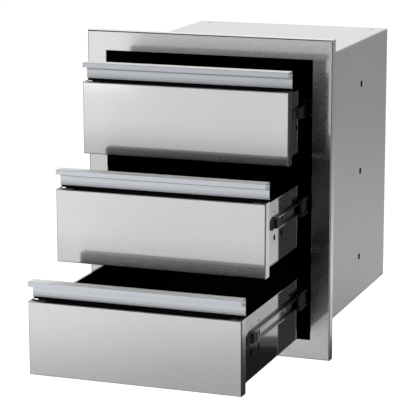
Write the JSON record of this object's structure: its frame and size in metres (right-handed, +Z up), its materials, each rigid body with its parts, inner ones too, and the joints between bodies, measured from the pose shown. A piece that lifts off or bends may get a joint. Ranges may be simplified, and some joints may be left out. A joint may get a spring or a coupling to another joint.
{
  "type": "outdoor kitchen drawer unit",
  "caption": "Built-in outdoor kitchen drawer unit: stainless face frame and cabinet, drawers with full width finger pulls on telescopic ball slides, stepped open.",
  "frame": {"origin": "middle of the face frame's opening, in the plane of the frame's rear bearing lip, which lies against the wall that the unit is built into", "axes": "+X to the right seen from the front, +Y back into the cabinet, +Z up; the drawers open along -Y and are stored stepped open as in the picture"},
  "size_m": [0.487, 0.9125, 0.6096],
  "materials": {
    "front_steel": "brushed stainless steel, even horizontal grain",
    "box_steel": "satin mill finish stainless outside, black inside",
    "tray_steel": "bright stainless outside, black inside",
    "aluminium": "satin anodised extrusion",
    "zinc_steel": "bright zinc plate",
    "cage_steel": "oiled steel strip and balls",
    "black_plastic": "moulded black plastic"
  },
  "bodies": {
    "cabinet": {"face_frame": "front_steel", "cabinet_right_side": "box_steel", "cabinet_left_side": "box_steel", "cabinet_top": "box_steel", "cabinet_bottom": "box_steel", "cabinet_back": "box_steel", "upper_right_slide_outer": "zinc_steel", "upper_left_slide_outer": "zinc_steel", "middle_right_slide_outer": "zinc_steel", "middle_left_slide_outer": "zinc_steel", "lower_right_slide_outer": "zinc_steel", "lower_left_slide_outer": "zinc_steel"},
    "upper_drawer": {"upper_drawer_front_panel": "front_steel", "upper_drawer_pull": "aluminium", "upper_drawer_front_wall": "tray_steel", "upper_drawer_right_side": "tray_steel", "upper_drawer_left_side": "tray_steel", "upper_drawer_bottom": "tray_steel", "upper_drawer_back_wall": "tray_steel", "upper_right_slide_inner": "zinc_steel", "upper_left_slide_inner": "zinc_steel", "upper_slide_bumpers": "black_plastic"},
    "upper_intermediates": {"upper_right_slide_intermediate": "zinc_steel", "upper_left_slide_intermediate": "zinc_steel", "upper_slide_mouth_stops": "black_plastic"},
    "upper_outer_cages": {"upper_slide_outer_ball_cages": "cage_steel"},
    "upper_inner_cages": {"upper_slide_inner_ball_cages": "cage_steel"},
    "middle_drawer": {"middle_drawer_front_panel": "front_steel", "middle_drawer_pull": "aluminium", "middle_drawer_front_wall": "tray_steel", "middle_drawer_right_side": "tray_steel", "middle_drawer_left_side": "tray_steel", "middle_drawer_bottom": "tray_steel", "middle_drawer_back_wall": "tray_steel", "middle_right_slide_inner": "zinc_steel", "middle_left_slide_inner": "zinc_steel", "middle_slide_bumpers": "black_plastic"},
    "middle_intermediates": {"middle_right_slide_intermediate": "zinc_steel", "middle_left_slide_intermediate": "zinc_steel", "middle_slide_mouth_stops": "black_plastic"},
    "middle_outer_cages": {"middle_slide_outer_ball_cages": "cage_steel"},
    "middle_inner_cages": {"middle_slide_inner_ball_cages": "cage_steel"},
    "lower_drawer": {"lower_drawer_front_panel": "front_steel", "lower_drawer_pull": "aluminium", "lower_drawer_front_wall": "tray_steel", "lower_drawer_right_side": "tray_steel", "lower_drawer_left_side": "tray_steel", "lower_drawer_bottom": "tray_steel", "lower_drawer_back_wall": "tray_steel", "lower_right_slide_inner": "zinc_steel", "lower_left_slide_inner": "zinc_steel", "lower_slide_bumpers": "black_plastic"},
    "lower_intermediates": {"lower_right_slide_intermediate": "zinc_steel", "lower_left_slide_intermediate": "zinc_steel", "lower_slide_mouth_stops": "black_plastic"},
    "lower_outer_cages": {"lower_slide_outer_ball_cages": "cage_steel"},
    "lower_inner_cages": {"lower_slide_inner_ball_cages": "cage_steel"}
  },
  "joints": [
    {"name": "upper_drawer_slide", "type": "slide", "parent": "cabinet", "child": "upper_drawer", "axis": [0, -1, 0], "range_m": [-0.127, 0.323]},
    {"name": "upper_intermediates_slide", "type": "slide", "parent": "cabinet", "child": "upper_intermediates", "axis": [0, -1, 0], "range_m": [-0.06351, 0.16151]},
    {"name": "upper_outer_cages_slide", "type": "slide", "parent": "cabinet", "child": "upper_outer_cages", "axis": [0, -1, 0], "range_m": [-0.03176, 0.08076]},
    {"name": "upper_inner_cages_slide", "type": "slide", "parent": "cabinet", "child": "upper_inner_cages", "axis": [0, -1, 0], "range_m": [-0.09526, 0.24226]},
    {"name": "middle_drawer_slide", "type": "slide", "parent": "cabinet", "child": "middle_drawer", "axis": [0, -1, 0], "range_m": [-0.255, 0.195]},
    {"name": "middle_intermediates_slide", "type": "slide", "parent": "cabinet", "child": "middle_intermediates", "axis": [0, -1, 0], "range_m": [-0.12751, 0.09751]},
    {"name": "middle_outer_cages_slide", "type": "slide", "parent": "cabinet", "child": "middle_outer_cages", "axis": [0, -1, 0], "range_m": [-0.06376, 0.04876]},
    {"name": "middle_inner_cages_slide", "type": "slide", "parent": "cabinet", "child": "middle_inner_cages", "axis": [0, -1, 0], "range_m": [-0.19126, 0.14626]},
    {"name": "lower_drawer_slide", "type": "slide", "parent": "cabinet", "child": "lower_drawer", "axis": [0, -1, 0], "range_m": [-0.3825, 0.0675]},
    {"name": "lower_intermediates_slide", "type": "slide", "parent": "cabinet", "child": "lower_intermediates", "axis": [0, -1, 0], "range_m": [-0.13771, 0.02431]},
    {"name": "lower_outer_cages_slide", "type": "slide", "parent": "cabinet", "child": "lower_outer_cages", "axis": [0, -1, 0], "range_m": [-0.06886, 0.01216]},
    {"name": "lower_inner_cages_slide", "type": "slide", "parent": "cabinet", "child": "lower_inner_cages", "axis": [0, -1, 0], "range_m": [-0.26011, 0.04591]}
  ],
  "couplings": [
    {"joint": "upper_intermediates_slide", "follows": "upper_drawer_slide", "ratio": 0.5},
    {"joint": "upper_outer_cages_slide", "follows": "upper_drawer_slide", "ratio": 0.25},
    {"joint": "upper_inner_cages_slide", "follows": "upper_drawer_slide", "ratio": 0.75},
    {"joint": "middle_intermediates_slide", "follows": "middle_drawer_slide", "ratio": 0.5},
    {"joint": "middle_outer_cages_slide", "follows": "middle_drawer_slide", "ratio": 0.25},
    {"joint": "middle_inner_cages_slide", "follows": "middle_drawer_slide", "ratio": 0.75},
    {"joint": "lower_intermediates_slide", "follows": "lower_drawer_slide", "ratio": 0.36},
    {"joint": "lower_outer_cages_slide", "follows": "lower_drawer_slide", "ratio": 0.18},
    {"joint": "lower_inner_cages_slide", "follows": "lower_drawer_slide", "ratio": 0.68}
  ]
}
